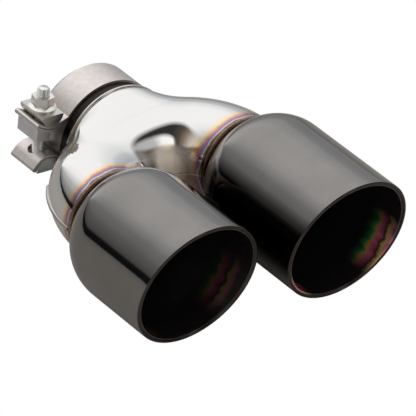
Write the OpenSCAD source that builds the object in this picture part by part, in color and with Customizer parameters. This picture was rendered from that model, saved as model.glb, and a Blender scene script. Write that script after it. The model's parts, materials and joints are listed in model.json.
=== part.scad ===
// Dual-outlet exhaust tip: two double-wall slant-cut tips on a pressed Y pipe, a slotted inlet
// pipe and a single-bolt band clamp. Millimetres. The inlet's open end is at the origin, the
// pipe's axis is Y, the tips' mouths face -Y, Z is up and the left tip is on the -X side.

/* [Inlet pipe] */
// Inner radius of the inlet pipe, a slip fit over a 76.2 mm tail pipe
inlet_bore_r = 38.5; // [38:0.1:40]
// Wall of the inlet pipe
inlet_wall = 1.6; // [1.2:0.1:2]
// Length of inlet pipe held inside the neck
inlet_insert = 5; // [4:0.5:6]
// Length of inlet pipe that shows between the clamp and the neck
groove_w = 9.5; // [6:0.5:14]
// Width of the slots that let the inlet pipe close
slot_w = 2.5; // [1:0.5:4]
// Length of the slots
slot_len = 30; // [15:1:34]
// Number of slots
slot_count = 4; // [2:1:6]
// Turn of the first slot from the top
slot_turn = 10; // [0:1:45]

/* [Y pipe] */
// Outer radius of each branch
branch_r = 33; // [31:0.5:34]
// Wall of the pressed Y halves and of the tips' outer shells
wall_t = 1.5; // [1:0.1:2]
// Gap between the two tips
tip_gap = 13.4; // [8:0.2:24]
// Bend radius of each branch's centre line
bend_r = 46; // [44:1:54]
// Straight length between each bend and its tip
branch_stub = 2; // [1:0.5:10]
// Distance from the neck's lip to the middle of the bends
neck_to_apex = 26.7; // [20:0.1:30]
// Radial height of the neck over the inlet pipe
neck_step = 3.6; // [3:0.1:5]
// Length of the ring weld that closes the neck on the inlet pipe
neck_weld_len = 2.5; // [1.5:0.1:4]
// Radius of the seam beads
seam_r = 1.8; // [0.8:0.1:2.5]
// Angle that each outer seam bead covers round its bend
seam_deg = 40; // [20:1:55]

/* [Tips] */
// Outer radius of each tip
tip_r = 50.8; // [48:0.4:53]
// Length of the left tip, from its weld to the middle of its mouth
left_tip_len = 106; // [90:1:130]
// Length of the right tip, from its weld to the middle of its mouth
right_tip_len = 124; // [100:1:150]
// Slant of the mouths from square
mouth_slant = 12; // [0:1:16]
// Radius of the rounded shoulder
shoulder_r = 38; // [30:1:42]
// Length of the straight neck behind the shoulder
tip_neck_len = 4; // [2:0.5:8]
// Radial width of the rolled lip at the mouth
lip_w = 2.4; // [2:0.1:5]
// Depth of the rolled lip
lip_depth = 4; // [2:0.5:8]
// Sheet thickness of the liner
liner_t = 1.2; // [0.8:0.1:1.5]
// Depth of the liner's edge behind the mouth
liner_back = 0.8; // [0:0.1:2]
// Straight length of the liner behind the mouth
liner_straight = 40; // [25:1:45]
// Length of the ring that holds the liner in the tip's neck
collar_len = 9; // [5:0.5:12]
// Radius of the ring welds behind the tips
tip_weld_r = 1.8; // [1:0.1:2.5]

/* [Clamp] */
// Width of the band along the pipe
band_w = 27.5; // [22:0.5:29]
// Thickness of the band
band_t = 1.7; // [1.4:0.1:2.4]
// Distance from the inlet pipe's end to the band
band_setback = 2.5; // [1:0.5:10]
// Thickness of the sealing sleeve under the band
sleeve_t = 0.4; // [0.4:0.1:1.2]
// Lean of the bolt from upright
bolt_lean = 7; // [0:1:30]
// Angle of the middle of the slit above the square to the bolt
slit_mid_deg = 5; // [0:0.5:8]
// Angle from the middle of the slit to each end of the ring
slit_half_deg = 27; // [24:0.5:30]
// Distance of the bolt's axis from the pipe's axis
bolt_out = 49.3; // [49:0.1:54]
// Distance of the upper saddle's flat side over the pipe's axis
upper_flat = 26.8; // [26:0.1:30]
// Distance of the bolt head's flat side under the pipe's axis
lower_flat = 18.5; // [17.5:0.1:21]
// Radius of the half-round saddles
saddle_r = 9; // [8:0.5:10]
// Gap between the two layers of each ear
ear_gap = 0.6; // [0.2:0.1:1]
// Slope of the upper ear's outer wing
upper_wing_deg = 26; // [15:1:40]
// Length of the upper ear's outer wing
upper_wing = 7.3; // [6:0.1:12]
// Slope of the lower ear's outer wing
lower_wing_deg = 50; // [30:1:60]
// Length of the lower ear's outer wing
lower_wing = 4.4; // [4:0.1:10]
// Width of the ears' slots for the bolt
ear_slot_w = 11; // [10.5:0.5:13]
// Length of the ears' slots for the bolt
ear_slot_len = 16; // [12:0.5:17]
// Depth of the reaction block across the clamp
block_w = 11; // [8:0.5:14]
// Height of the reaction block's foot over the pipe's axis
block_foot = 6.3; // [2:0.1:9]
// Length of the reaction block along the pipe
block_len = 24; // [18:0.5:24.5]

/* [Bolt and nut] */
// Radius of the bolt
bolt_r = 4.75; // [4:0.25:5]
// Clearance of the bolt in the block and the upper saddle
bolt_play = 0.4; // [0.2:0.1:0.8]
// Length of bolt that stands out of the nut
bolt_proud = 6.4; // [2:0.1:12]
// Half of the nut's width across flats
nut_half_af = 7.15; // [6:0.05:8]
// Height of the nut, with its flange
nut_h = 9.6; // [8:0.1:14]
// Turn of the nut's corners
nut_turn = 42; // [0:1:60]
// Radius of the nut's flange
flange_r = 10; // [8.5:0.1:10.5]
// Thickness of the nut's flange at its edge
flange_t = 1.4; // [0.8:0.1:2.5]

/* [Hidden] */
$fn = 96;
BRANCH_FN = 48;
BEND_STEPS = 12;
DISC_T = 0.2;
FACE_GAP = 0.02;
far = 400;

// Stations along the pipe, as distances forward of the inlet's open end
inlet_r = inlet_bore_r + inlet_wall;
neck_r = inlet_r + neck_step;
lip_y = band_setback + band_w + groove_w;
body_y = lip_y + neck_weld_len;
apex_y = lip_y + neck_to_apex;
bend_y = apex_y + bend_r;
weld_y = bend_y + branch_stub;
tip_x = tip_r + tip_gap / 2;
bend_x = tip_x - bend_r;

function dir(a) = [cos(a), sin(a)];

// Turns a shape made along +Z so that it runs forward, along -Y
module forward(y = 0) translate([0, -y, 0]) rotate([90, 0, 0]) children();

// A thin disc square to the right branch's centre line, at an angle round its bend
module bend_disc(a, r) {
    translate([bend_x, -bend_y, 0]) rotate([0, 0, a]) translate([bend_r, 0, 0]) rotate([90, 0, 0])
        cylinder(h = DISC_T, r = r, center = true, $fn = BRANCH_FN);
}

// The outer half of such a disc
module bend_half_disc(a, r) {
    translate([bend_x, -bend_y, 0]) rotate([0, 0, a]) translate([bend_r, 0, 0])
        intersection() {
            rotate([90, 0, 0]) cylinder(h = DISC_T, r = r, center = true, $fn = BRANCH_FN);
            translate([0, -1, -r]) cube([r, 2, 2 * r]);
        }
}

// The right branch, from past its open end to the middle
module branch(r, past) {
    hull() {
        translate([tip_x, 0, 0]) forward(bend_y) cylinder(h = branch_stub + past, r = r, $fn = BRANCH_FN);
        bend_disc(0, r);
    }
    for (i = [0 : BEND_STEPS - 1])
        hull() {
            bend_disc(90 * i / BEND_STEPS, r);
            bend_disc(90 * (i + 1) / BEND_STEPS, r);
        }
    hull() {
        bend_disc(90, r);
        mirror([1, 0, 0]) bend_disc(90, r);
    }
}

// The whole Y as one filled body, with all its radii cut by inset
module y_body(inset, past) {
    r = branch_r - inset;
    intersection() {
        union() {
            branch(r, past);
            mirror([1, 0, 0]) branch(r, past);
            hull() {
                forward(body_y - past) cylinder(h = past + 1, r = neck_r - inset, $fn = 2 * BRANCH_FN);
                for (i = [BEND_STEPS - 2 : BEND_STEPS]) {
                    bend_half_disc(90 * i / BEND_STEPS, r);
                    mirror([1, 0, 0]) bend_half_disc(90 * i / BEND_STEPS, r);
                }
            }
        }
        // The shoulders start as a steep cone at the neck
        forward(body_y + 1.12 * inset)
            cylinder(h = far, r1 = neck_r + 0.3, r2 = neck_r + 0.3 + 2 * far, $fn = 2 * BRANCH_FN);
    }
}

// The Y's wall, open at the neck and at both branch ends
module y_shell() {
    difference() {
        y_body(0, 0);
        y_body(wall_t, 1);
        forward(body_y - 1) cylinder(h = 1.12 * wall_t + 1.5, r = neck_r - wall_t, $fn = 2 * BRANCH_FN);
    }
}

module y_upper_shell() color("gainsboro") intersection() {
    y_shell();
    translate([-far / 2, -far / 2, 0]) cube(far);
}

module y_lower_shell() mirror([0, 0, 1]) y_upper_shell();

// The outer bead on the joint between the Y's halves, on the right
module side_seam() {
    translate([bend_x, -bend_y, 0]) rotate_extrude(angle = seam_deg)
        difference() {
            translate([bend_r + branch_r, 0]) circle(r = seam_r, $fn = 32);
            translate([bend_r, 0]) circle(r = branch_r);
        }
}

module seam_weld_right() color("silver") side_seam();

module seam_weld_left() color("silver") mirror([1, 0, 0]) side_seam();

// Section of the bead in the crotch, at its distance from the bend's centre
module crotch_bead() {
    difference() {
        translate([bend_r - branch_r, 0]) circle(r = seam_r, $fn = 32);
        translate([bend_r, 0]) circle(r = branch_r);
    }
}

module seam_weld_crotch() color("silver") {
    translate([bend_x, -bend_y, 0]) rotate_extrude(angle = 90) crotch_bead();
    mirror([1, 0, 0]) translate([bend_x, -bend_y, 0]) rotate_extrude(angle = 90) crotch_bead();
    translate([-bend_x, -bend_y, 0]) rotate([90, 0, 90])
        linear_extrude(2 * bend_x) crotch_bead();
}

// The rounded ring weld that closes the neck on the inlet pipe
module inlet_weld() color("whitesmoke") forward(lip_y)
    rotate_extrude()
        difference() {
            union() {
                translate([inlet_r, 0]) square([neck_step - neck_weld_len / 2, neck_weld_len]);
                translate([neck_r - neck_weld_len / 2, neck_weld_len / 2]) circle(r = neck_weld_len / 2, $fn = 32);
            }
            translate([0, -1]) square([inlet_r, neck_weld_len + 2]);
        }

module inlet_pipe() color("dimgray") difference() {
    forward(0) difference() {
        cylinder(h = lip_y + inlet_insert, r = inlet_r);
        translate([0, 0, -1]) cylinder(h = lip_y + inlet_insert + 2, r = inlet_bore_r);
    }
    for (i = [0 : slot_count - 1])
        rotate([0, slot_turn + i * 360 / slot_count, 0])
            translate([-slot_w / 2, -slot_len, 0]) cube([slot_w, slot_len + 1, inlet_r + 5]);
}

// The outline of a tip, from its neck forward, as an area down to the axis
shoulder_c = tip_r - shoulder_r;
module tip_outline(inset) {
    r = shoulder_r - inset;
    top = tip_neck_len + sqrt(pow(shoulder_r, 2) - pow(branch_r - shoulder_c, 2));
    translate([0, -1]) square([branch_r - inset, top + 1]);
    intersection() {
        translate([shoulder_c, top]) circle(r = r);
        translate([0, tip_neck_len - inset]) square([tip_r, top - tip_neck_len + inset]);
    }
    translate([0, tip_neck_len]) square([shoulder_c, top - tip_neck_len]);
    translate([0, top]) square([tip_r - inset, far]);
}

// Everything behind the slanted mouth plane that lies back from it by depth
module behind_mouth(tip_len, back) {
    translate([0, 0, tip_len]) rotate([-mouth_slant, 0, 0])
        translate([-far / 2, -far / 2, -far - back]) cube(far);
}

module tip_shell(tip_len) color("dimgray") intersection() {
    difference() {
        rotate_extrude() intersection() {
            tip_outline(0);
            square([far, far]);
        }
        intersection() {
            rotate_extrude() tip_outline(wall_t);
            behind_mouth(tip_len, lip_depth);
        }
        translate([0, 0, tip_len / 2]) cylinder(h = far, r = tip_r - lip_w);
    }
    behind_mouth(tip_len, 0);
}

// The liner: straight behind the lip, then tapering to a sleeve in the neck
collar_in_r = branch_r - wall_t - 1.5;
liner_r = tip_r - lip_w - FACE_GAP;
module liner_area(tip_len, inset) {
    polygon([[0, 0], [collar_in_r - inset, 0], [collar_in_r - inset, collar_len + 4],
             [liner_r - inset, tip_len - liner_straight], [liner_r - inset, far], [0, far]]);
}
module tip_liner(tip_len) color("black") intersection() {
    difference() {
        rotate_extrude() liner_area(tip_len, 0);
        rotate_extrude() liner_area(tip_len, liner_t);
    }
    translate([-far / 2, -far / 2, 1]) cube(far);
    behind_mouth(tip_len, liner_back);
}

module tip_collar() color("gray") translate([0, 0, 1]) difference() {
    cylinder(h = collar_len, r = branch_r - wall_t);
    translate([0, 0, -1]) cylinder(h = collar_len + 2, r = collar_in_r);
}

// The ring weld between a branch and a tip's neck
module tip_weld() color("peru")
    rotate_extrude()
        difference() {
            translate([branch_r, 0]) circle(r = tip_weld_r, $fn = 32);
            translate([0, -far / 2]) square([branch_r, far]);
        }

module at_left() translate([-tip_x, 0, 0]) forward(weld_y) children();
module at_right() translate([tip_x, 0, 0]) forward(weld_y) children();

module left_tip_shell() at_left() tip_shell(left_tip_len);
module left_tip_liner() at_left() tip_liner(left_tip_len);
module left_tip_collar() at_left() tip_collar();
module left_tip_weld() at_left() tip_weld();
module right_tip_shell() at_right() tip_shell(right_tip_len);
module right_tip_liner() at_right() tip_liner(right_tip_len);
module right_tip_collar() at_right() tip_collar();
module right_tip_weld() at_right() tip_weld();

// The clamp's section is drawn with its slit toward +X and its bolt along Y
sleeve_r = inlet_r + sleeve_t;
band_mid_r = sleeve_r + band_t / 2;
ear_step = band_t + ear_gap;
upper_c = [bolt_out, upper_flat];
lower_c = [bolt_out, lower_flat];
upper_root = band_mid_r * dir(slit_half_deg + slit_mid_deg);
lower_root = band_mid_r * dir(slit_half_deg - slit_mid_deg);
ear_r = saddle_r + band_t / 2 + 2 * FACE_GAP;
// Heading of the tangent from a root to the cradle about c
function bar_heading(root, c) = atan2(c[1] - root[1], c[0] - root[0]) - asin(ear_r / norm(c - root));

// A straight strip from p to q, let a little into the strips at both its ends
LET_IN = 0.3;
module bar(p, q, t) {
    translate(p) rotate(atan2(q[1] - p[1], q[0] - p[0]))
        translate([-LET_IN, -t / 2]) square([norm(q - p) + 2 * LET_IN, t]);
}

// A curved strip of mid radius r about c, from angle a0 to a1, less than half a turn
module bow(c, r, t, a0, a1) {
    intersection() {
        translate(c) difference() {
            circle(r = r + t / 2);
            circle(r = r - t / 2);
        }
        polygon([c, c + far * dir(a0), c + far * dir((a0 + a1) / 2), c + far * dir(a1)]);
    }
}

// One of an ear's two layers, out from the ring by step
module ear_layer(root, c, step, wing, wing_deg) {
    r = ear_r + step;
    bar_end_deg = bar_heading(root, c) - 90;
    wing_start = c + r * dir(wing_deg - 90);
    bar(root + step * dir(bar_end_deg), c + r * dir(bar_end_deg), band_t);
    bow(c, r, band_t, bar_end_deg, wing_deg - 90);
    bar(wing_start, wing_start + wing * dir(wing_deg), band_t);
}

module ear(root, c, wing, wing_deg) {
    fold_c = c + (ear_r + ear_step / 2) * dir(wing_deg - 90) + wing * dir(wing_deg);
    translate(root) circle(r = band_t / 2, $fn = 24);
    ear_layer(root, c, 0, wing, wing_deg);
    ear_layer(root, c, ear_step, wing, wing_deg);
    bow(fold_c, ear_step / 2, band_t, wing_deg - 90, wing_deg + 90);
}

module band_section() {
    difference() {
        union() {
            difference() {
                circle(r = sleeve_r + band_t);
                polygon([[0, 0], far * dir(slit_mid_deg - slit_half_deg), far * dir(slit_mid_deg + slit_half_deg)]);
            }
            ear(upper_root, upper_c, upper_wing, upper_wing_deg);
            mirror([0, 1]) ear(lower_root, lower_c, lower_wing, lower_wing_deg);
        }
        circle(r = sleeve_r + 2 * FACE_GAP);
    }
}

// Puts a part made in the clamp's own frame on the pipe, its slit toward -X
module on_clamp() rotate([0, bolt_lean, 0]) mirror([1, 0, 0]) children();

// Stands a section drawn in x and z along the pipe, in the middle of the band
bolt_y = band_setback + band_w / 2;
module along_pipe(w) forward(bolt_y - w / 2) linear_extrude(w) children();

module ear_slot() {
    ends = (ear_slot_len - ear_slot_w) / 2;
    translate([bolt_out, -bolt_y, -far / 2]) linear_extrude(far) {
        translate([-ends, -ear_slot_w / 2]) square([2 * ends, ear_slot_w]);
        for (side = [-1, 1]) translate([side * ends, 0]) circle(r = ear_slot_w / 2);
    }
}

module bolt_hole() translate([bolt_out, -bolt_y, -far / 2]) cylinder(h = far, r = bolt_r + bolt_play);

module clamp_band() color("lightgray") on_clamp() difference() {
    along_pipe(band_w) band_section();
    ear_slot();
}

// The sleeve's own split is on the far side from the clamp's
SLEEVE_SPLIT = 8;
module seal_sleeve() color("darkgray") on_clamp() along_pipe(band_w)
    difference() {
        circle(r = sleeve_r);
        circle(r = inlet_r + FACE_GAP);
        polygon([[0, 0], far * dir(180 - SLEEVE_SPLIT / 2), far * dir(180 + SLEEVE_SPLIT / 2)]);
    }

// The block stands outside the bolt, and its top follows the underside of the upper ear
under_r = ear_r + ear_step + band_t / 2 + 0.05;
block_out = bolt_out + block_w;
wing_foot_deg = upper_wing_deg - 90;
wing_foot = upper_c + under_r * dir(wing_foot_deg);
module block_section() {
    polygon(concat(
        [[bolt_out, block_foot]],
        [for (i = [0 : 6]) upper_c + under_r * dir(-90 + upper_wing_deg * i / 6)],
        [[block_out, wing_foot[1] + (block_out - wing_foot[0]) * tan(upper_wing_deg)], [block_out, block_foot]]));
}

module reaction_block() color("lightslategray") on_clamp() difference() {
    along_pipe(block_len) block_section();
    bolt_hole();
}

// The section of a half-round bar about c, its flat side up
module half_round(c) {
    intersection() {
        translate(c) circle(r = saddle_r);
        translate(c - [saddle_r, saddle_r]) square([2 * saddle_r, saddle_r]);
    }
}

module upper_saddle() color("silver") on_clamp() difference() {
    along_pipe(band_w) half_round(upper_c);
    bolt_hole();
}

module clamp_bolt() color("lightsteelblue") on_clamp() {
    along_pipe(band_w) mirror([0, 1]) half_round(lower_c);
    translate([bolt_out, -bolt_y, -lower_flat])
        cylinder(h = lower_flat + upper_flat + nut_h + bolt_proud, r = bolt_r);
}

module clamp_nut() color("silver") on_clamp() translate([bolt_out, -bolt_y, upper_flat])
    difference() {
        union() {
            cylinder(h = flange_t, r = flange_r);
            translate([0, 0, flange_t])
                cylinder(h = (flange_r - nut_half_af) / 2, r1 = flange_r, r2 = nut_half_af);
            rotate([0, 0, nut_turn]) cylinder(h = nut_h, r = nut_half_af / cos(30), $fn = 6);
        }
        translate([0, 0, -1]) cylinder(h = nut_h + 2, r = bolt_r + FACE_GAP);
    }

inlet_pipe();
inlet_weld();
y_upper_shell();
y_lower_shell();
seam_weld_left();
seam_weld_right();
seam_weld_crotch();
left_tip_shell();
left_tip_liner();
left_tip_collar();
left_tip_weld();
right_tip_shell();
right_tip_liner();
right_tip_collar();
right_tip_weld();
clamp_band();
seal_sleeve();
reaction_block();
upper_saddle();
clamp_bolt();
clamp_nut();
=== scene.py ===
"""Dual-outlet exhaust tip on a white sweep, lit by soft boxes. Metres, in the part's frame."""
import json
from math import asin, cos, pi, radians, sin, sqrt, tan

import bmesh
import bpy
import numpy as np
from mathutils import Matrix, Vector


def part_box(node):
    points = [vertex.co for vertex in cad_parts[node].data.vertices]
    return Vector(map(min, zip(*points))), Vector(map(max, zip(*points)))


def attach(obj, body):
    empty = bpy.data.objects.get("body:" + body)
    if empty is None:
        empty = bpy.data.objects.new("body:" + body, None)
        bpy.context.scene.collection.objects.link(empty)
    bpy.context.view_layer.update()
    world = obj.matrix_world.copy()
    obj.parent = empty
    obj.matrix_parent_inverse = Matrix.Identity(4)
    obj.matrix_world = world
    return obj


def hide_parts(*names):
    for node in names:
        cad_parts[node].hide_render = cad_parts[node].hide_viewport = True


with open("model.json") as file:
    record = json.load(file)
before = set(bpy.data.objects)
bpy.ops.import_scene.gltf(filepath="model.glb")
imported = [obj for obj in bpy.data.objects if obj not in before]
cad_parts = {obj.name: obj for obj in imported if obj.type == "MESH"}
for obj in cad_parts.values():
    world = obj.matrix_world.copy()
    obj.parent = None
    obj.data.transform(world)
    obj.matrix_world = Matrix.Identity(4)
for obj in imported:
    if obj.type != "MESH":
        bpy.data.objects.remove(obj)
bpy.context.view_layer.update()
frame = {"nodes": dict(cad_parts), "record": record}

MM = 0.001
BODY = "root"

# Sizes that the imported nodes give
LIP_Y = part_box("inlet_weld")[1][1]
NECK_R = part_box("inlet_weld")[1][0]
TIP_BOX = {side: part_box(side + "_tip_shell") for side in ("left", "right")}
TIP_R = (TIP_BOX["left"][1][0] - TIP_BOX["left"][0][0]) / 2
TIP_X = (TIP_BOX["right"][0][0] + TIP_BOX["right"][1][0]) / 2
WELD_Y = TIP_BOX["left"][1][1]
BAND_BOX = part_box("seal_sleeve")
FLOOR_Z = -TIP_R

# Sizes that the part's source also states
BRANCH_R = 33 * MM
WALL = 1.5 * MM
BEND_R = 46 * MM
BEND_X = TIP_X - BEND_R
BEND_Y = WELD_Y + 2 * MM
BODY_Y = LIP_Y - 2.5 * MM
SLANT = radians(12)
SHOULDER_R = 38 * MM
SHOULDER_C = TIP_R - SHOULDER_R
TIP_NECK = 4 * MM
LIP_W = 2.4 * MM
LIP_DEPTH = 4 * MM
LINER_T = 1.2 * MM
LINER_BACK = 0.8 * MM
LINER_STRAIGHT = 40 * MM
LINER_NECK_R = BRANCH_R - WALL - 1.5 * MM
LINER_NECK_LEN = 13 * MM
TIP_LEN = {"left": 106 * MM, "right": 124 * MM}
BOLT_LEAN = radians(7)
BOLT_OUT = 49.3 * MM
UPPER_FLAT = 26.8 * MM
LOWER_FLAT = 18.5 * MM
SADDLE_R = 9 * MM
BOLT_R = 4.75 * MM
NUT_H = 9.6 * MM
BOLT_PROUD = 6.4 * MM

# The Y's smooth form: where its neck meets the bends, and how fine its first mesh is
JOIN_X = 20 * MM
JOIN_Y = BEND_Y + sqrt(BEND_R ** 2 - (JOIN_X - BEND_X) ** 2) + 1.5 * MM
VOXEL = 1.6 * MM
RELAXED_TURNS = 12
FITTED_TURNS = 16

# The dull ground steel in the crotch, whose colour also holds a painted highlight and painted
# reflections
CROTCH = (0, -105 * MM, 0)
GROUND_R = 27 * MM
GROUND_EDGE = 10 * MM

# Points round a tip, a bend, the neck and the bolt
AROUND = 160
BEND_AROUND = 64
BEND_STEPS = 24
NECK_AROUND = 96
BOLT_AROUND = 40
HEAD_STEPS = 32


def new_object(name, data):
    """An object in the scene for a mesh, camera or lamp."""
    made = bpy.data.objects.new(name, data)
    bpy.context.collection.objects.link(made)
    return made


def look_from(azimuth, elevation):
    """Right, up and back vectors of a camera at that azimuth and elevation."""
    a, e = radians(azimuth), radians(elevation)
    right = Vector((cos(a), sin(a), 0))
    back = Vector((sin(a) * cos(e), -cos(a) * cos(e), sin(e)))
    return right, back.cross(right), back


def make_camera():
    """The photograph's camera, a long lens from the front left."""
    right, up, back = look_from(-36.9, 35.1)
    between_mouths = Vector((0, -229 * MM, 0))
    aim = between_mouths - 45.3 * MM * right + 37.4 * MM * up
    data = bpy.data.cameras.new("camera")
    data.lens = 509.7
    data.sensor_width = 36
    data.clip_end = 50
    camera = new_object("camera", data)
    camera.location = between_mouths + 4.064 * back
    camera.rotation_euler = (aim - camera.location).to_track_quat("-Z", "Y").to_euler()
    bpy.context.scene.camera = camera


# Materials

def new_material(name):
    """A node material and its shader."""
    material = bpy.data.materials.new(name)
    material.use_nodes = True
    return material, material.node_tree, material.node_tree.nodes["Principled BSDF"]


def node(tree, kind, **values):
    """A new node with its properties set."""
    made = tree.nodes.new(kind)
    for key, value in values.items():
        setattr(made, key, value)
    return made


def noise(tree, scale, detail=3, stretch=(1, 1, 1)):
    """Noise over the object's own coordinates, in metres."""
    coords = node(tree, "ShaderNodeTexCoord")
    mapping = node(tree, "ShaderNodeMapping")
    mapping.inputs["Scale"].default_value = stretch
    made = node(tree, "ShaderNodeTexNoise")
    made.inputs["Scale"].default_value = scale
    made.inputs["Detail"].default_value = detail
    tree.links.new(coords.outputs["Object"], mapping.inputs["Vector"])
    tree.links.new(mapping.outputs["Vector"], made.inputs["Vector"])
    return made.outputs["Fac"]


def ramp(tree, source, stops):
    """A colour ramp over a value, with stops of (position, colour)."""
    made = node(tree, "ShaderNodeValToRGB")
    elements = made.color_ramp.elements
    while len(elements) < len(stops):
        elements.new(0.5)
    for element, (position, colour) in zip(elements, stops):
        element.position = position
        element.color = (*colour, 1)
    tree.links.new(source, made.inputs["Fac"])
    return made.outputs["Color"]


def scaled(tree, source, low, high, start=0.0, end=1.0):
    """A value mapped from low..high to start..end."""
    made = node(tree, "ShaderNodeMapRange")
    made.inputs["From Min"].default_value = low
    made.inputs["From Max"].default_value = high
    made.inputs["To Min"].default_value = start
    made.inputs["To Max"].default_value = end
    tree.links.new(source, made.inputs["Value"])
    return made.outputs["Result"]


def offset(tree, source, scale, base):
    """A value times a constant, added to another value."""
    made = node(tree, "ShaderNodeMath", operation="MULTIPLY_ADD")
    made.inputs[1].default_value = scale
    tree.links.new(source, made.inputs[0])
    tree.links.new(base, made.inputs[2])
    return made.outputs[0]


def product(tree, a, b):
    """Two values multiplied."""
    made = node(tree, "ShaderNodeMath", operation="MULTIPLY")
    tree.links.new(a, made.inputs[0])
    tree.links.new(b, made.inputs[1])
    return made.outputs[0]


def axes(tree, coords, output):
    """X, Y and Z of one of a texture coordinate node's outputs."""
    made = node(tree, "ShaderNodeSeparateXYZ")
    tree.links.new(coords.outputs[output], made.inputs["Vector"])
    return made.outputs


def blend(tree, factor, a, b):
    """Colour a where the factor is 0, b where it is 1."""
    made = node(tree, "ShaderNodeMix", data_type="RGBA", clamp_factor=True)
    tree.links.new(factor, made.inputs["Factor"])
    tree.links.new(a, made.inputs["A"])
    tree.links.new(b, made.inputs["B"])
    return made.outputs["Result"]


def grey(value):
    """A colour with equal parts."""
    return (value, value, value)


def plain_metal(name, colour, roughness, mottle=0.12, scale=120, bump=0.0, stretch=(1, 1, 1)):
    """Metal with a faint mottle in its colour, and grain if bump is given."""
    material, tree, shader = new_material(name)
    fac = noise(tree, scale, stretch=stretch)
    dark = tuple(c * (1 - mottle) for c in colour)
    tree.links.new(ramp(tree, fac, [(0.3, dark), (0.7, colour)]), shader.inputs["Base Color"])
    shader.inputs["Metallic"].default_value = 1
    shader.inputs["Roughness"].default_value = roughness
    if bump:
        made = node(tree, "ShaderNodeBump")
        made.inputs["Strength"].default_value = bump
        made.inputs["Distance"].default_value = 0.0002
        tree.links.new(fac, made.inputs["Height"])
        tree.links.new(made.outputs["Normal"], shader.inputs["Normal"])
    return material


# Colours of the painted reflections inside a mouth, from deep at 0 to near the rim at 1
PAINTED_REFLECTIONS = [
    (0.20, (0.010, 0.008, 0.008)),
    (0.31, (0.010, 0.060, 0.022)),
    (0.38, (0.030, 0.150, 0.045)),
    (0.45, (0.340, 0.200, 0.045)),
    (0.51, (0.420, 0.090, 0.140)),
    (0.60, (0.260, 0.050, 0.085)),
    (0.66, (0.030, 0.014, 0.018)),
    (0.73, (0.420, 0.310, 0.090)),
    (0.82, (0.500, 0.150, 0.200)),
    (0.88, (0.090, 0.080, 0.070)),
]


# Colours of the heat round a branch's end, from the weld to 10 mm off
TINT = [
    (0.00, (0.20, 0.13, 0.09)),
    (0.07, (0.80, 0.78, 0.76)),
    (0.16, (0.30, 0.28, 0.52)),
    (0.30, (0.45, 0.22, 0.38)),
    (0.45, (0.78, 0.42, 0.18)),
    (0.66, (0.88, 0.76, 0.56)),
    (1.00, (0.84, 0.835, 0.83)),
]


# Colours of the ground steel in the crotch, from the left to the right: a painted highlight in the
# middle, between painted dark reflections
GROUND_AND_HIGHLIGHT = [
    (0.00, (0.36, 0.30, 0.25)),
    (0.16, (0.15, 0.11, 0.08)),
    (0.32, (0.22, 0.16, 0.12)),
    (0.43, (1.00, 0.90, 0.76)),
    (0.64, (1.00, 0.86, 0.70)),
    (0.84, (0.30, 0.21, 0.15)),
]


def y_metal():
    """Polished steel, tinted by heat near the branch ends and ground dull in the crotch, where its
    colour holds a painted highlight and painted reflections.
    """
    material, tree, shader = new_material("y_pipe")
    coords = node(tree, "ShaderNodeTexCoord")
    place = axes(tree, coords, "Object")
    wander = offset(tree, noise(tree, 70), 6 * MM, place["Y"])
    heat = ramp(tree, scaled(tree, wander, WELD_Y + 4.5 * MM, WELD_Y + 15 * MM), TINT)
    crotch = node(tree, "ShaderNodeVectorMath", operation="DISTANCE")
    tree.links.new(coords.outputs["Object"], crotch.inputs[0])
    crotch.inputs[1].default_value = CROTCH
    # Painted highlight and painted reflections: the crotch's colour has a bright streak between dark
    # bands, and it is nearly not metallic there so they show
    ground_and_highlight = scaled(tree, crotch.outputs["Value"], GROUND_R, GROUND_R - GROUND_EDGE)
    streak = offset(tree, noise(tree, 250, stretch=(1, 1, 0.3)), 5 * MM, place["X"])
    ground_highlight_colour = ramp(tree, scaled(tree, streak, -22 * MM, 28 * MM), GROUND_AND_HIGHLIGHT)
    tree.links.new(blend(tree, ground_and_highlight, heat, ground_highlight_colour), shader.inputs["Base Color"])
    tree.links.new(scaled(tree, ground_and_highlight, 0, 1, 0.06, 0.5), shader.inputs["Roughness"])
    tree.links.new(scaled(tree, ground_and_highlight, 0, 1, 1, 0.15), shader.inputs["Metallic"])
    return material


def shell_metal():
    """Smoked chrome, darker on the rim's face, with painted shade where the two tips face each other."""
    material, tree, shader = new_material("tip_shell")
    coords = node(tree, "ShaderNodeTexCoord")
    facing = axes(tree, coords, "Normal")
    side = node(tree, "ShaderNodeMath", operation="SIGN")
    tree.links.new(axes(tree, coords, "Object")["X"], side.inputs[0])
    # Painted shade: where a tip's flank faces the other tip, its colour is near black
    painted_shade_mask = scaled(tree, product(tree, side.outputs[0], facing["X"]), -0.74, -0.86)
    front = scaled(tree, facing["Y"], -0.30, -0.75)
    fac = noise(tree, 40)
    smoke = ramp(tree, fac, [(0.3, (0.255, 0.246, 0.240)), (0.7, (0.282, 0.270, 0.262))])
    shade = ramp(tree, fac, [(0.3, (0.022, 0.020, 0.019)), (0.7, (0.028, 0.026, 0.024))])
    edge = ramp(tree, fac, [(0.3, (0.060, 0.048, 0.040)), (0.7, (0.090, 0.070, 0.058))])
    flank_with_painted_shade = blend(tree, painted_shade_mask, smoke, shade)
    tree.links.new(blend(tree, front, flank_with_painted_shade, edge), shader.inputs["Base Color"])
    shader.inputs["Metallic"].default_value = 1
    shader.inputs["Roughness"].default_value = 0.08
    return material


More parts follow.
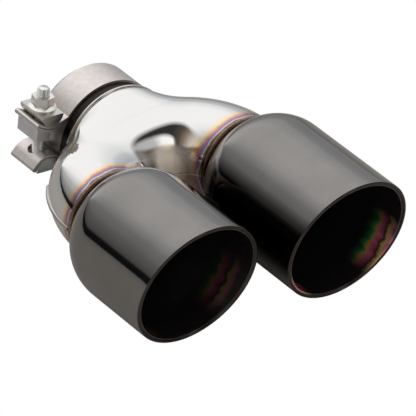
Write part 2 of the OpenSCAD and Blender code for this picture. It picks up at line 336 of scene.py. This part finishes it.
def painted_reflection_liner():
    """Black chrome with painted reflections of green, orange and pink inside the mouth, low on the
    right.
    """
    material, tree, shader = new_material("tip_liner")
    place = axes(tree, node(tree, "ShaderNodeTexCoord"), "Object")
    right = node(tree, "ShaderNodeMath", operation="GREATER_THAN")
    tree.links.new(place["X"], right.inputs[0])
    right.inputs[1].default_value = 0
    # The right tip reaches further forward, and so do its painted reflections
    shift = offset(tree, right.outputs[0], 28 * MM, place["Y"])
    wander = offset(tree, noise(tree, 190, detail=4, stretch=(1, 0.2, 1)), 11 * MM, shift)
    # Painted reflections: coloured streaks in the base colour of a liner that is not metallic, so the
    # lamps light them
    reflection_colours = ramp(tree, scaled(tree, wander, -163 * MM, -206 * MM), PAINTED_REFLECTIONS)
    low = product(tree, scaled(tree, place["Z"], -3 * MM, -22 * MM),
                  scaled(tree, place["Z"], -42 * MM, -35 * MM))
    low = product(tree, low, scaled(tree, right.outputs[0], -0.25, 1.0))
    dark = ramp(tree, shift, [(0, (0.010, 0.008, 0.008)), (1, (0.014, 0.012, 0.010))])
    tree.links.new(blend(tree, low, dark, reflection_colours), shader.inputs["Base Color"])
    shader.inputs["Metallic"].default_value = 0
    shader.inputs["Specular IOR Level"].default_value = 0.8
    shader.inputs["Roughness"].default_value = 0.1
    return material


def make_materials():
    """One material for each slot of the record."""
    return {
        # Painted shade: the inlet pipe is near black, for the dark groove between the lip and the band
        "inlet_pipe": plain_metal("inlet_pipe", (0.040, 0.034, 0.032), 0.30),
        "inlet_weld": plain_metal("inlet_weld", (0.80, 0.79, 0.77), 0.12),
        "y_pipe": y_metal(),
        "seam_weld": plain_metal("seam_weld", (0.62, 0.60, 0.58), 0.3, scale=600, bump=0.5),
        "tip_shell": shell_metal(),
        "tip_liner": painted_reflection_liner(),
        "tip_collar": plain_metal("tip_collar", (0.30, 0.29, 0.28), 0.4),
        "tip_weld": plain_metal("tip_weld", (0.42, 0.30, 0.22), 0.34, mottle=0.4, scale=500, bump=0.6),
        "clamp_band": plain_metal("clamp_band", (0.86, 0.80, 0.775), 0.42, scale=300, bump=0.08,
                                  stretch=(1, 1, 0.2)),
        "seal_sleeve": plain_metal("seal_sleeve", (0.40, 0.38, 0.37), 0.4),
        "reaction_block": plain_metal("reaction_block", (0.86, 0.84, 0.87), 0.45),
        "upper_saddle": plain_metal("upper_saddle", (0.74, 0.76, 0.71), 0.30),
        "clamp_bolt": plain_metal("clamp_bolt", (0.95, 0.99, 0.99), 0.34),
        "clamp_nut": plain_metal("clamp_nut", (0.96, 0.95, 0.91), 0.28),
    }


# Pieces

def add_piece(name, mesh, slot, *nodes):
    """A mesh piece that rides on the body, stands for nodes and takes a slot's material."""
    piece = new_object(name, mesh)
    piece.data.materials.append(MATERIALS[slot])
    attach(piece, BODY)
    if nodes:
        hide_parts(*nodes)
    return piece


def mesh_of(name, points, faces, smooth=True):
    """A mesh from points and faces."""
    mesh = bpy.data.meshes.new(name)
    mesh.from_pydata([tuple(p) for p in points], [], faces)
    mesh.update()
    mesh.shade_smooth() if smooth else mesh.shade_flat()
    return mesh


def ring_mesh(name, loops, closed):
    """Quads between successive loops of points, all with the same count."""
    count = len(loops[0])
    points = [p for loop in loops for p in loop]
    faces = []
    for i in range(len(loops) if closed else len(loops) - 1):
        a, b = i * count, (i + 1) % len(loops) * count
        for k in range(count):
            m = (k + 1) % count
            faces.append((a + k, a + m, b + m, b + k))
    return mesh_of(name, points, faces)


def turned(name, profile, x=0.0, y=0.0):
    """A closed section turned about an axis along -Y.

    A section point is (radius, distance forward, share of the mouth's slant)."""
    loops = []
    for r, forward, slant in profile:
        loop = []
        for k in range(AROUND):
            t = 2 * pi * k / AROUND
            reach = forward + slant * tan(SLANT) * r * sin(t)
            loop.append((x + r * cos(t), y - reach, r * sin(t)))
        loops.append(loop)
    return ring_mesh(name, loops, True)


def arc(centre, radius, start, end, steps):
    """Points along an arc, its angles in degrees."""
    return [
        (centre[0] + radius * cos(a), centre[1] + radius * sin(a))
        for a in np.linspace(radians(start), radians(end), steps + 1)
    ]


def shell_profile(length):
    """Section of a tip's outer shell: neck, rounded shoulder, straight run and rolled lip."""
    rise = sqrt(SHOULDER_R ** 2 - (BRANCH_R - SHOULDER_C) ** 2)
    top = TIP_NECK + rise
    start = -np.degrees(asin(rise / SHOULDER_R))
    outer = [(BRANCH_R, 0), (BRANCH_R, TIP_NECK * 0.85)]
    outer += arc((SHOULDER_C, top), SHOULDER_R, start, 0, 28)[1:]
    inner = [(r - WALL, y) for r, y in arc((SHOULDER_C, top), SHOULDER_R, start, 0, 16)]
    half = LIP_W / 2
    straight = [(TIP_R, (length - top - half) * i / 14 + top) for i in range(1, 15)]
    rows = [(r, y, 0.0) for r, y in outer]
    rows += [(r, y, i / 14) for i, (r, y) in enumerate(straight, 1)]
    rows += [(r, y, 1.0) for r, y in arc((TIP_R - half, length - half), half, 0, 180, 12)[1:]]
    rows += [(TIP_R - LIP_W, length - LIP_DEPTH, 1.0), (TIP_R - WALL, length - LIP_DEPTH, 1.0)]
    rows += [(r, y, 0.0) for r, y in reversed(inner)]
    rows.append((BRANCH_R - WALL, 0, 0.0))
    return rows


def liner_profile(length):
    """Section of a tip's liner: straight behind the lip, then tapering into the neck."""
    outer_r = TIP_R - LIP_W - 0.02 * MM
    front = length - LINER_BACK
    taper = length - LINER_STRAIGHT
    outer = [(LINER_NECK_R, 1 * MM, 0), (LINER_NECK_R, LINER_NECK_LEN, 0), (outer_r, taper, 0)]
    outer += [(outer_r, taper + (front - taper) * i / 8, i / 8) for i in range(1, 9)]
    inner = [(r - LINER_T, y, s) for r, y, s in outer]
    smooth_inner = []
    for (r0, y0, s0), (r1, y1, s1) in zip(inner[::-1], inner[::-1][1:]):
        steps = 10 if abs(y1 - y0) > 20 * MM else 3
        for i in range(steps):
            f = i / steps
            smooth_inner.append((r0 + (r1 - r0) * f, y0 + (y1 - y0) * f, s0 + (s1 - s0) * f))
    return outer + smooth_inner + [inner[0]]


def make_tips():
    """Both tips, each a shell and a liner."""
    for side, x in (("left", -TIP_X), ("right", TIP_X)):
        shell = turned(side + "_shell", shell_profile(TIP_LEN[side]), x, WELD_Y)
        add_piece(side + "_tip_skin", shell, "tip_shell", side + "_tip_shell")
        liner = turned(side + "_liner", liner_profile(TIP_LEN[side]), x, WELD_Y)
        add_piece(side + "_tip_inside", liner, "tip_liner", side + "_tip_liner")


def smooth_min(a, b, k):
    """The lesser of two distances, blended where they differ by less than k."""
    h = np.clip(0.5 + 0.5 * (b - a) / k, 0, 1)
    return b * (1 - h) + a * h - k * h * (1 - h)


def elbow_distance(p, r):
    """Distance to the right bend, its straight end and the link, for points with x made positive."""
    x, y, z = p[:, 0] - BEND_X, p[:, 1] - BEND_Y, p[:, 2]
    angle = np.clip(np.arctan2(y, x), 0, pi / 2)
    angle = np.where((y < 0) & (x < 0), np.where(x > y, 0, pi / 2), angle)
    near = np.stack([BEND_R * np.cos(angle), BEND_R * np.sin(angle)], axis=1)
    off = np.stack([x - near[:, 0], y - near[:, 1]], axis=1)
    in_stub = (y < 0) & (x > 0)
    in_link = (y > 0) & (x < 0)
    flat = np.where(in_stub, np.abs(x - BEND_R), np.hypot(off[:, 0], off[:, 1]))
    flat = np.where(in_link, np.abs(y - BEND_R), flat)
    bend = np.hypot(flat, z) - r
    # The crotch is rounder than the outer bends
    wide = np.hypot(np.hypot(p[:, 0], p[:, 1] - BEND_Y + BEND_X) - TIP_X, z) - r
    return smooth_min(bend, wide, 5 * MM)


def neck_distance(p, inset):
    """Distance, near enough, to the neck: round at the lip, wider and lower where it meets the bends."""
    share = np.clip((BODY_Y - p[:, 1]) / (BODY_Y - JOIN_Y), 0, 1)
    beyond_x = np.maximum(np.abs(p[:, 0]) - JOIN_X * share, 0)
    beyond_y = np.minimum(p[:, 1] - JOIN_Y, 0)
    radius = NECK_R + (BRANCH_R - 0.5 * MM - NECK_R) * share - inset
    return np.sqrt(beyond_x ** 2 + p[:, 2] ** 2 + beyond_y ** 2) - radius


def y_distance(p, inset=0.0):
    """Distance, near enough, to the Y's outer surface."""
    q = p.copy()
    # A tiny rounding where the two mirrored bends meet
    q[:, 0] = np.sqrt(q[:, 0] ** 2 + (0.2 * MM) ** 2)
    body = smooth_min(elbow_distance(q, BRANCH_R - inset), neck_distance(p, inset), 9 * MM)
    # The shoulders start as a steep cone at the neck
    cone = (np.hypot(p[:, 0], p[:, 2]) - NECK_R + inset) * 0.5 - (BODY_Y - p[:, 1]) * 0.87
    return -smooth_min(-body, -cone, 4 * MM)


def gradient(p, step=0.05 * MM):
    """The direction away from the Y's surface at each point."""
    parts = []
    for axis in range(3):
        shift = np.zeros(3)
        shift[axis] = step
        parts.append((y_distance(p + shift) - y_distance(p - shift)) / (2 * step))
    g = np.stack(parts, axis=1)
    return g / np.maximum(np.linalg.norm(g, axis=1, keepdims=True), 1e-6)


def y_blank():
    """A closed mesh near the Y's surface: bends, link and neck joined by a voxel remesh."""
    mesh = bpy.data.meshes.new("y_blank")
    form = bmesh.new()
    path = [Vector((TIP_X, WELD_Y - 6 * MM, 0))]
    for i in range(BEND_STEPS + 1):
        a = radians(90 * i / BEND_STEPS)
        path.append(Vector((BEND_X + BEND_R * cos(a), BEND_Y + BEND_R * sin(a), 0)))
    path += [Vector((-p.x, p.y, 0)) for p in reversed(path)]
    loops = []
    for i, p in enumerate(path):
        ahead = path[min(i + 1, len(path) - 1)] - path[max(i - 1, 0)]
        side = Vector((-ahead.y, ahead.x, 0)).normalized()
        loop = []
        for k in range(BEND_AROUND):
            t = 2 * pi * k / BEND_AROUND
            out = side * BRANCH_R * cos(t)
            loop.append(form.verts.new(p + out + Vector((0, 0, BRANCH_R * sin(t)))))
        loops.append(loop)
    for a, b in zip(loops, loops[1:]):
        for k in range(BEND_AROUND):
            m = (k + 1) % BEND_AROUND
            form.faces.new((a[k], a[m], b[m], b[k]))
    form.faces.new(loops[0][::-1])
    form.faces.new(loops[-1])
    form.to_mesh(mesh)
    form.free()
    form = bmesh.new()
    for k in range(NECK_AROUND):
        t = 2 * pi * k / NECK_AROUND
        for y in (BODY_Y + 6 * MM, BODY_Y):
            form.verts.new((NECK_R * cos(t), y, NECK_R * sin(t)))
    for x in (-JOIN_X, JOIN_X):
        at = Matrix.Translation((x, JOIN_Y, 0))
        bmesh.ops.create_icosphere(form, subdivisions=4, radius=BRANCH_R, matrix=at)
    bmesh.ops.convex_hull(form, input=form.verts[:])
    loose = [v for v in form.verts if not v.link_faces]
    bmesh.ops.delete(form, geom=loose, context="VERTS")
    form.from_mesh(mesh)
    form.to_mesh(mesh)
    form.free()
    blank = new_object("y_blank", mesh)
    remesh = blank.modifiers.new("remesh", "REMESH")
    remesh.mode = "VOXEL"
    remesh.voxel_size = VOXEL
    evaluated = blank.evaluated_get(bpy.context.evaluated_depsgraph_get())
    made = bpy.data.meshes.new_from_object(evaluated)
    bpy.data.objects.remove(blank)
    return made


def make_y():
    """The two pressed halves as smooth skins, each with its own thickness."""
    full = y_blank()
    points = np.array([v.co[:] for v in full.vertices])
    ends = np.array([e.vertices[:] for e in full.edges])
    both = np.concatenate([ends, ends[:, ::-1]])
    degree = np.bincount(both[:, 0], minlength=len(points))[:, None]
    for turn in range(FITTED_TURNS):
        if turn % 2 == 0 and turn < RELAXED_TURNS:
            total = np.zeros_like(points)
            np.add.at(total, both[:, 0], points[both[:, 1]])
            points += 0.6 * (total / degree - points)
        points -= gradient(points) * y_distance(points)[:, None] * 0.8
    for vertex, p in zip(full.vertices, points):
        vertex.co = p
    for part, up in (("upper", 1), ("lower", -1)):
        form = bmesh.new()
        form.from_mesh(full)
        cuts = (((0, 0, 0), (0, 0, -up)), ((0, WELD_Y, 0), (0, -1, 0)), ((0, BODY_Y, 0), (0, 1, 0)))
        for at, away in cuts:
            geometry = form.verts[:] + form.edges[:] + form.faces[:]
            bmesh.ops.bisect_plane(form, geom=geometry, plane_co=at, plane_no=away, clear_outer=True)
        mesh = bpy.data.meshes.new("y_" + part)
        form.to_mesh(mesh)
        form.free()
        mesh.shade_smooth()
        piece = add_piece("y_" + part + "_skin", mesh, "y_pipe", "y_" + part + "_shell")
        solid = piece.modifiers.new("wall", "SOLIDIFY")
        solid.thickness = WALL
        solid.offset = -1
    bpy.data.meshes.remove(full)


def clamp_matrix():
    """From the clamp's own frame, its bolt along Z and its slit toward +X, to the row frame."""
    return Matrix.Rotation(BOLT_LEAN, 4, "Y") @ Matrix.Scale(-1, 4, (1, 0, 0))


def bolt_mesh():
    """Threaded shank with a chamfered end, and the half-round head."""
    pitch = 1.6 * MM
    depth = 0.85 * MM
    bolt_y = (BAND_BOX[0][1] + BAND_BOX[1][1]) / 2
    foot = -LOWER_FLAT + SADDLE_R * 0.5
    top = UPPER_FLAT + NUT_H + BOLT_PROUD
    rows = int((top - foot) / (pitch / 8))
    loops = []
    for i in range(rows + 1):
        h = foot + (top - foot) * i / rows
        loop = []
        for k in range(BOLT_AROUND):
            t = 2 * pi * k / BOLT_AROUND
            phase = (h / pitch - k / BOLT_AROUND) % 1
            r = BOLT_R - depth * abs(2 * phase - 1)
            r = min(r, BOLT_R - depth * 1.6 + (top - h))
            loop.append((BOLT_OUT + r * cos(t), bolt_y + r * sin(t), h))
        loops.append(loop)
    mesh = ring_mesh("bolt", loops, False)
    form = bmesh.new()
    form.from_mesh(mesh)
    form.verts.ensure_lookup_table()
    form.faces.new([form.verts[k] for k in range(BOLT_AROUND)][::-1])
    form.faces.new([form.verts[rows * BOLT_AROUND + k] for k in range(BOLT_AROUND)])
    half = (BAND_BOX[1][1] - BAND_BOX[0][1]) / 2 - 0.2 * MM
    ends = []
    for y in (bolt_y - half, bolt_y + half):
        curve = [(BOLT_OUT + SADDLE_R * cos(a), y, -LOWER_FLAT + SADDLE_R * sin(a))
                 for a in np.linspace(0, pi, HEAD_STEPS + 1)]
        ends.append([form.verts.new(p) for p in curve])
    for a, b, c, d in zip(ends[0], ends[0][1:], ends[1][1:], ends[1]):
        form.faces.new((a, b, c, d))
    form.faces.new((ends[0][-1], ends[0][0], ends[1][0], ends[1][-1]))
    form.faces.new(ends[0][::-1])
    form.faces.new(ends[1])
    form.transform(clamp_matrix())
    bmesh.ops.recalc_face_normals(form, faces=form.faces[:])
    form.to_mesh(mesh)
    form.free()
    return mesh


def make_bolt():
    """The bolt, with crisp threads and a smooth shank."""
    piece = add_piece("threaded_bolt", bolt_mesh(), "clamp_bolt", "clamp_bolt")
    piece.data.shade_smooth()
    piece.data.set_sharp_from_angle(angle=radians(50))


def dress_cad():
    """Materials for the nodes that stay as the CAD made them, and softer edges on three."""
    for name in ("reaction_block", "upper_saddle", "clamp_nut"):
        soft = frame["nodes"][name].modifiers.new("soft", "BEVEL")
        soft.width = 0.35 * MM
        soft.segments = 2
        soft.limit_method = "ANGLE"
        soft.angle_limit = radians(35)
    for entry in frame["record"]["subparts"]:
        made = frame["nodes"][entry["node"]]
        for index in range(max(1, len(made.material_slots))):
            if not made.material_slots:
                made.data.materials.append(MATERIALS[entry["material_slot"]])
            made.material_slots[index].material = MATERIALS[entry["material_slot"]]


# The set

def make_floor():
    """A white sweep: white to the camera and to metal, and still shadowed under the part."""
    mesh = mesh_of("floor", [(-6, -6, FLOOR_Z), (6, -6, FLOOR_Z), (6, 6, FLOOR_Z), (-6, 6, FLOOR_Z)],
                   [(0, 1, 2, 3)], smooth=False)
    floor = new_object("floor", mesh)
    material, tree, shader = new_material("floor")
    path = node(tree, "ShaderNodeLightPath")
    paper = [(0, grey(0.9)), (1, (0.48, 0.46, 0.43))]
    tree.links.new(ramp(tree, path.outputs["Is Glossy Ray"], paper), shader.inputs["Base Color"])
    shader.inputs["Roughness"].default_value = 0.9
    white = node(tree, "ShaderNodeEmission")
    white.inputs["Strength"].default_value = 1
    mix = node(tree, "ShaderNodeMixShader")
    tree.links.new(path.outputs["Is Camera Ray"], mix.inputs["Fac"])
    tree.links.new(shader.outputs[0], mix.inputs[1])
    tree.links.new(white.outputs[0], mix.inputs[2])
    tree.links.new(mix.outputs[0], tree.nodes["Material Output"].inputs["Surface"])
    floor.data.materials.append(material)


# Brightness that metal shows over the part, from its right horizon at 0 to its left at 1
SKY = [
    (0.055, (0.47, 0.48, 0.50)),
    (0.133, (0.61, 0.62, 0.64)),
    (0.172, (0.79, 0.80, 0.81)),
    (0.300, (1.04, 1.035, 1.03)),
    (0.500, (1.06, 1.055, 1.04)),
    (0.594, (0.97, 0.965, 0.96)),
    (0.678, (0.68, 0.68, 0.68)),
    (0.722, (0.50, 0.50, 0.50)),
    (0.783, (0.42, 0.42, 0.42)),
    (0.817, (0.33, 0.33, 0.33)),
    (0.878, (0.25, 0.25, 0.25)),
    (0.922, (0.18, 0.18, 0.18)),
    (0.940, (0.015, 0.015, 0.015)),
    (0.990, (0.012, 0.012, 0.012)),
]


# Colours in front of the part, from its left at 0 to its right at 1, low down and high up
FRONT_LOW = [
    (0.125, (0.200, 0.140, 0.100)),
    (0.375, (0.080, 0.058, 0.046)),
    (0.590, (0.140, 0.105, 0.080)),
    (0.640, (0.500, 0.380, 0.260)),
    (0.680, (0.750, 0.650, 0.500)),
    (0.720, (0.450, 0.340, 0.240)),
    (0.760, (0.100, 0.070, 0.050)),
    (0.810, (0.100, 0.070, 0.050)),
    (0.900, (0.250, 0.220, 0.200)),
]
FRONT_HIGH = [
    (0.530, (0.080, 0.065, 0.055)),
    (0.575, (0.300, 0.280, 0.250)),
    (0.610, (1.150, 1.130, 1.080)),
    (0.710, (1.100, 1.080, 1.030)),
    (0.750, (0.550, 0.545, 0.540)),
    (0.850, (0.500, 0.500, 0.500)),
]


# A darker screen high up in front, that shades the crotch
SCREEN = [
    (0.200, (0.650, 0.580, 0.500)),
    (0.375, (0.280, 0.220, 0.170)),
    (0.500, (0.090, 0.075, 0.060)),
    (0.625, (0.032, 0.031, 0.030)),
]


def make_world():
    """White to the camera and even light, with a dark horizon that only metal shows."""
    world = bpy.data.worlds.new("world")
    bpy.context.scene.world = world
    world.use_nodes = True
    tree = world.node_tree
    even = tree.nodes["Background"]
    even.inputs["Color"].default_value = (1, 1, 1, 1)
    even.inputs["Strength"].default_value = 0.55
    ray = axes(tree, node(tree, "ShaderNodeTexCoord"), "Generated")
    studio = node(tree, "ShaderNodeBackground")
    turn = node(tree, "ShaderNodeMath", operation="ARCTAN2")
    tree.links.new(ray["Z"], turn.inputs[0])
    tree.links.new(ray["X"], turn.inputs[1])
    sky = ramp(tree, scaled(tree, turn.outputs[0], 0, pi), SKY)
    sideways = scaled(tree, ray["X"], -1, 1)
    high = scaled(tree, ray["Z"], 0.50, 0.60)
    front = blend(tree, high, ramp(tree, sideways, FRONT_LOW), ramp(tree, sideways, FRONT_HIGH))
    lean = offset(tree, ray["X"], -0.88, ray["Y"])
    screened = product(tree, high, scaled(tree, lean, -0.88, -0.74))
    near = blend(tree, screened, front, ramp(tree, sideways, SCREEN))
    whole = blend(tree, scaled(tree, ray["Y"], -0.20, -0.02), near, sky)
    tree.links.new(whole, studio.inputs["Color"])
    seen = node(tree, "ShaderNodeBackground")
    seen.inputs["Color"].default_value = (1, 1, 1, 1)
    path = node(tree, "ShaderNodeLightPath")
    metal = node(tree, "ShaderNodeMixShader")
    tree.links.new(path.outputs["Is Glossy Ray"], metal.inputs["Fac"])
    tree.links.new(even.outputs[0], metal.inputs[1])
    tree.links.new(studio.outputs[0], metal.inputs[2])
    mix = node(tree, "ShaderNodeMixShader")
    tree.links.new(path.outputs["Is Camera Ray"], mix.inputs["Fac"])
    tree.links.new(metal.outputs[0], mix.inputs[1])
    tree.links.new(seen.outputs[0], mix.inputs[2])
    tree.links.new(mix.outputs[0], tree.nodes["World Output"].inputs["Surface"])


def make_lights():
    """A soft box overhead, for the shading that isn't reflection."""
    data = bpy.data.lights.new("key", "AREA")
    data.shape = "SQUARE"
    data.size = 1.5
    data.energy = 7
    key = new_object("key", data)
    key.location = (-0.4, -0.4, 1.5)
    key.rotation_euler = (Vector((0, -0.12, 0)) - key.location).to_track_quat("-Z", "Y").to_euler()
    key.visible_glossy = False


MATERIALS = make_materials()
bpy.context.scene.view_settings.view_transform = "Standard"
make_camera()
make_world()
make_floor()
make_lights()
dress_cad()
make_tips()
make_y()
make_bolt()
